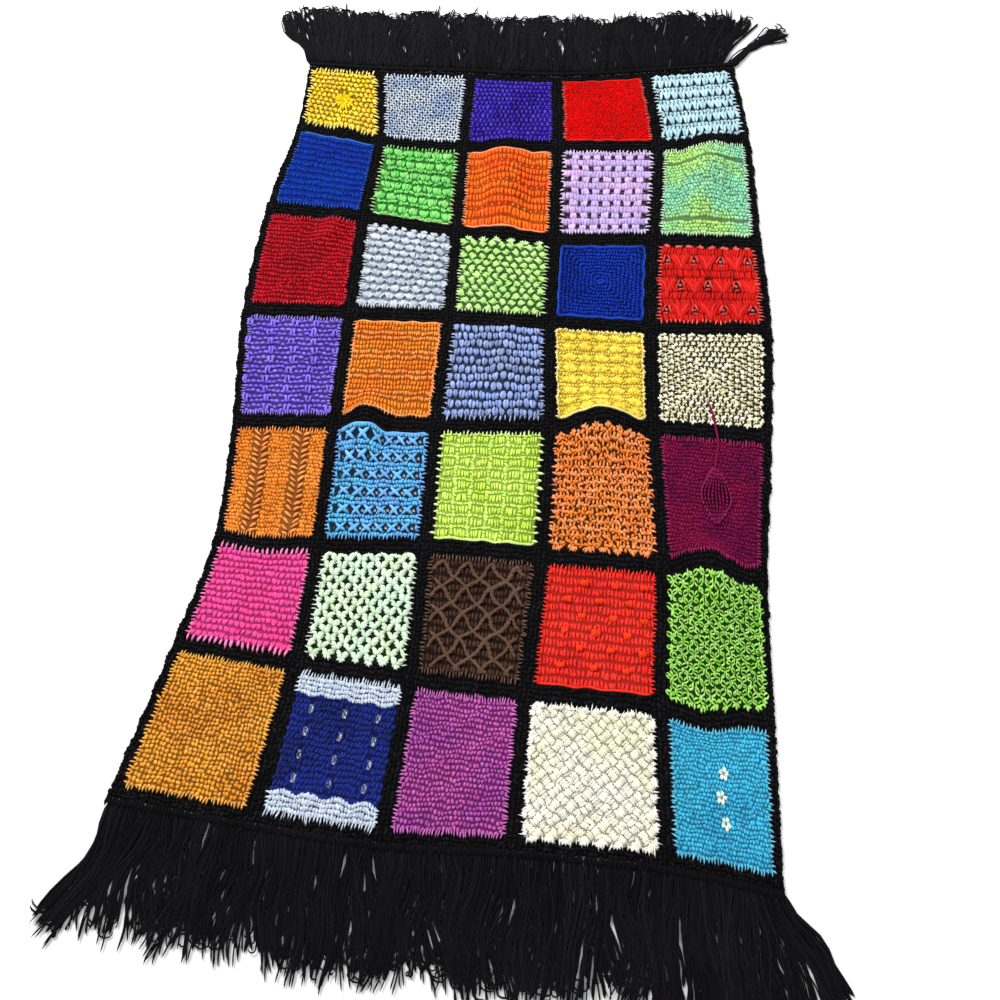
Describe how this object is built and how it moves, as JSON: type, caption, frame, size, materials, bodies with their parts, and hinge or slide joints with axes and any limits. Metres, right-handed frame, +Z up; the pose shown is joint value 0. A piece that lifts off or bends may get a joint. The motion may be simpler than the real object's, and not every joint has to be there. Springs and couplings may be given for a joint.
{
  "type": "granny square blanket",
  "caption": "Crochet sampler blanket of many-coloured squares joined by black bands, with a black fringe at both ends, laid out flat with soft folds.",
  "frame": {"origin": "on the floor, under the middle of the blanket's outline, fringe included", "axes": "+X across the blanket towards its right side seen from the foot end, +Y along it towards the head end, +Z up from the floor"},
  "size_m": [1.2442, 2.039, 0.0314],
  "materials": {
    "yarn_yellow_sunburst": "matte crocheted yarn",
    "yarn_blue_marl_mesh": "matte crocheted yarn",
    "yarn_indigo_flecks": "matte crocheted yarn",
    "yarn_red_close_stitch": "matte crocheted yarn",
    "yarn_pale_blue_shells": "matte crocheted yarn",
    "yarn_royal_blue_ribs": "matte crocheted yarn",
    "yarn_green_popcorn": "matte crocheted yarn",
    "yarn_orange_waves": "matte crocheted yarn",
    "yarn_lavender_eyelets": "matte crocheted yarn",
    "yarn_sea_marl_frame": "matte crocheted yarn",
    "yarn_crimson_ribs": "matte crocheted yarn",
    "yarn_silver_shells": "matte crocheted yarn",
    "yarn_lime_lattice": "matte crocheted yarn",
    "yarn_navy_rounds": "matte crocheted yarn",
    "yarn_red_fans": "matte crocheted yarn",
    "yarn_violet_basket": "matte crocheted yarn",
    "yarn_orange_boxes": "matte crocheted yarn",
    "yarn_blue_bobbles": "matte crocheted yarn",
    "yarn_yellow_scales": "matte crocheted yarn",
    "yarn_cream_rounds": "matte crocheted yarn",
    "yarn_ochre_chevrons": "matte crocheted yarn",
    "yarn_sky_crosses": "matte crocheted yarn",
    "yarn_lime_basket": "matte crocheted yarn",
    "yarn_rust_stars": "matte crocheted yarn",
    "yarn_plum_plain": "matte crocheted yarn",
    "yarn_pink_clusters": "matte crocheted yarn",
    "yarn_mint_moons": "matte crocheted yarn",
    "yarn_brown_cables": "matte crocheted yarn",
    "yarn_red_dots": "matte crocheted yarn",
    "yarn_green_net": "matte crocheted yarn",
    "yarn_gold_moss": "matte crocheted yarn",
    "yarn_navy_lenses": "matte crocheted yarn",
    "yarn_magenta_seed": "matte crocheted yarn",
    "yarn_ivory_trellis": "matte crocheted yarn",
    "yarn_turquoise_plain": "matte crocheted yarn",
    "black_yarn": "matte crocheted yarn",
    "leaf_yarn": "matte crocheted yarn"
  },
  "bodies": {
    "root": {"square_11_yellow_sunburst": "yarn_yellow_sunburst", "square_12_blue_marl_mesh": "yarn_blue_marl_mesh", "square_13_indigo_flecks": "yarn_indigo_flecks", "square_14_red_close_stitch": "yarn_red_close_stitch", "square_15_pale_blue_shells": "yarn_pale_blue_shells", "square_21_royal_blue_ribs": "yarn_royal_blue_ribs", "square_22_green_popcorn": "yarn_green_popcorn", "square_23_orange_waves": "yarn_orange_waves", "square_24_lavender_eyelets": "yarn_lavender_eyelets", "square_25_sea_marl_frame": "yarn_sea_marl_frame", "square_31_crimson_ribs": "yarn_crimson_ribs", "square_32_silver_shells": "yarn_silver_shells", "square_33_lime_lattice": "yarn_lime_lattice", "square_34_navy_rounds": "yarn_navy_rounds", "square_35_red_fans": "yarn_red_fans", "square_41_violet_basket": "yarn_violet_basket", "square_42_orange_boxes": "yarn_orange_boxes", "square_43_blue_bobbles": "yarn_blue_bobbles", "square_44_yellow_scales": "yarn_yellow_scales", "square_45_cream_rounds": "yarn_cream_rounds", "square_51_ochre_chevrons": "yarn_ochre_chevrons", "square_52_sky_crosses": "yarn_sky_crosses", "square_53_lime_basket": "yarn_lime_basket", "square_54_rust_stars": "yarn_rust_stars", "square_55_plum_plain": "yarn_plum_plain", "square_61_pink_clusters": "yarn_pink_clusters", "square_62_mint_moons": "yarn_mint_moons", "square_63_brown_cables": "yarn_brown_cables", "square_64_red_dots": "yarn_red_dots", "square_65_green_net": "yarn_green_net", "square_71_gold_moss": "yarn_gold_moss", "square_72_navy_lenses": "yarn_navy_lenses", "square_73_magenta_seed": "yarn_magenta_seed", "square_74_ivory_trellis": "yarn_ivory_trellis", "square_75_turquoise_plain": "yarn_turquoise_plain", "joining_bands": "black_yarn", "fringe_head": "black_yarn", "fringe_foot": "black_yarn", "leaf": "leaf_yarn", "leaf_tail": "leaf_yarn"}
  },
  "joints": []
}
